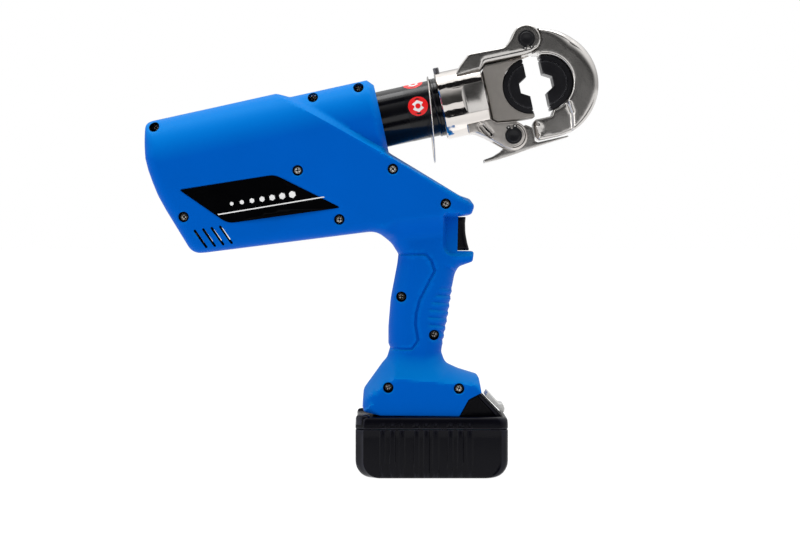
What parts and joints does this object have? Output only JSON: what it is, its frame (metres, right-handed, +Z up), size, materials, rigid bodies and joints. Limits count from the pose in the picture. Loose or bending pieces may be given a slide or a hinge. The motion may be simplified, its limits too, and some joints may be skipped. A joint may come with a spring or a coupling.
{
  "type": "cordless hydraulic crimping tool",
  "caption": "Pistol-grip battery crimping tool: tilted barrel housing, swivelling flip-top C-head with latch and hex dies on a hydraulic ram, hang ring, trigger and slide-on battery.",
  "frame": {"origin": "middle of the battery's bottom face, on the surface the tool stands on", "axes": "+X towards the head, +Z up, +Y away from the side with the screw heads; the XZ plane is the split of the two housing halves"},
  "size_m": [0.3415, 0.074, 0.34],
  "materials": {
    "blue_plastic": "moulded ABS, fine grain",
    "black_plastic": "moulded, satin",
    "nameplate": "printed label plate",
    "screw_steel": "nickel plated",
    "chrome": "mirror chrome",
    "hanger_steel": "bare steel",
    "blasted_steel": "bead blasted",
    "black_oxide": "black oxide, oiled",
    "aluminium": "as cast",
    "bronze": "machined",
    "winding": "enamelled copper on laminations",
    "rubber": "moulded nitrile",
    "board": "circuit board, lacquered",
    "cells": "heat-shrunk cell wrap",
    "silver_plastic": "silver painted"
  },
  "bodies": {
    "housing": {"shell_right": "blue_plastic", "shell_left": "blue_plastic", "nameplate_right": "nameplate", "nameplate_left": "nameplate", "case_screw_01": "screw_steel", "case_screw_02": "screw_steel", "case_screw_03": "screw_steel", "case_screw_04": "screw_steel", "case_screw_05": "screw_steel", "case_screw_06": "screw_steel", "case_screw_07": "screw_steel", "case_screw_08": "screw_steel", "case_screw_09": "screw_steel", "case_screw_10": "screw_steel", "case_screw_11": "screw_steel", "case_screw_12": "screw_steel", "motor_can": "screw_steel", "motor_end_cap": "black_plastic", "ring_gear": "screw_steel", "pump_body": "aluminium", "relief_valve": "bronze", "oil_bladder": "rubber", "cylinder": "black_oxide", "return_spring": "screw_steel", "plunger_spring": "screw_steel", "trigger_spring": "screw_steel", "switch_body": "black_plastic", "control_board": "board", "terminal_block": "black_plastic"},
    "battery": {"battery_case_lower": "black_plastic", "battery_case_upper": "black_plastic", "cell_pack": "cells", "button_spring": "screw_steel"},
    "battery_button": {"battery_button": "silver_plastic"},
    "trigger": {"trigger": "black_plastic"},
    "rotor": {"motor_rotor": "winding", "motor_fan": "black_plastic", "sun_pinion": "screw_steel"},
    "carrier": {"planet_carrier": "screw_steel", "eccentric_bearing": "screw_steel"},
    "planet_1": {"planet_1": "screw_steel"},
    "planet_2": {"planet_2": "screw_steel"},
    "planet_3": {"planet_3": "screw_steel"},
    "plunger": {"pump_plunger": "screw_steel"},
    "head": {"head_fork": "chrome", "set_screw": "black_oxide", "jaw_pin": "black_oxide", "jaw_pin_clip": "black_oxide", "latch_pin": "black_oxide", "latch_pin_clip": "black_oxide", "latch_spring": "screw_steel"},
    "ram": {"ram": "screw_steel", "ram_seal": "rubber", "die_holder": "blasted_steel", "die_moving": "black_oxide"},
    "jaw": {"jaw": "chrome", "die_fixed": "black_oxide"},
    "latch": {"latch_lever": "chrome"},
    "hang_ring": {"hang_ring": "hanger_steel"}
  },
  "joints": [
    {"name": "battery_slide", "type": "slide", "parent": "housing", "child": "battery", "axis": [1, 0, 0], "range_m": [0, 0.1]},
    {"name": "battery_button_press", "type": "slide", "parent": "battery", "child": "battery_button", "axis": [-0.7351, 0, -0.6779], "range_m": [0, 0.003], "stiffness_N_per_m": 900, "springref_m": -0.002},
    {"name": "trigger_pull", "type": "slide", "parent": "housing", "child": "trigger", "axis": [-1, 0, 0], "range_m": [0, 0.006], "stiffness_N_per_m": 1500, "springref_m": -0.002},
    {"name": "motor_spin", "type": "hinge", "parent": "housing", "child": "rotor", "pos_m": [-0.16487, 0, 0.24128], "axis": [0.9767, 0, 0.2147], "continuous": true},
    {"name": "carrier_spin", "type": "hinge", "parent": "housing", "child": "carrier", "pos_m": [-0.12385, 0, 0.2503], "axis": [0.9767, 0, 0.2147], "continuous": true},
    {"name": "planet_1_spin", "type": "hinge", "parent": "carrier", "child": "planet_1", "pos_m": [-0.13798, 0, 0.25871], "axis": [0.9767, 0, 0.2147], "continuous": true},
    {"name": "planet_2_spin", "type": "hinge", "parent": "carrier", "child": "planet_2", "pos_m": [-0.13436, -0.00974, 0.24223], "axis": [0.9767, 0, 0.2147], "continuous": true},
    {"name": "planet_3_spin", "type": "hinge", "parent": "carrier", "child": "planet_3", "pos_m": [-0.13436, 0.00974, 0.24223], "axis": [0.9767, 0, 0.2147], "continuous": true},
    {"name": "plunger_stroke", "type": "slide", "parent": "housing", "child": "plunger", "axis": [-0.2147, 0, 0.9767], "range_m": [0, 0.0045], "stiffness_N_per_m": 600},
    {"name": "head_swivel", "type": "hinge", "parent": "housing", "child": "head", "pos_m": [0.0207, 0, 0.28208], "axis": [0.9767, 0, 0.2147], "range_deg": [-175, 175]},
    {"name": "ram_stroke", "type": "slide", "parent": "head", "child": "ram", "axis": [0.9767, 0, 0.2147], "range_m": [0, 0.012], "stiffness_N_per_m": 2500, "springref_m": -0.004},
    {"name": "jaw_hinge", "type": "hinge", "parent": "head", "child": "jaw", "pos_m": [0.0713, 0, 0.32904], "axis": [0, -1, 0], "range_deg": [0, 95]},
    {"name": "latch_hinge", "type": "hinge", "parent": "head", "child": "latch", "pos_m": [0.0617, 0, 0.25629], "axis": [0, 1, 0], "range_deg": [0, 15], "stiffness_Nm_per_rad": 0.6, "springref_deg": -8.59},
    {"name": "hang_ring_swing", "type": "hinge", "parent": "housing", "child": "hang_ring", "pos_m": [-0.00278, 0, 0.30042], "axis": [0, 1, 0], "range_deg": [-6, 20]}
  ],
  "couplings": [
    {"joint": "carrier_spin", "follows": "motor_spin", "ratio": 0.2},
    {"joint": "planet_1_spin", "follows": "motor_spin", "ratio": -0.53333},
    {"joint": "planet_2_spin", "follows": "motor_spin", "ratio": -0.53333},
    {"joint": "planet_3_spin", "follows": "motor_spin", "ratio": -0.53333}
  ]
}
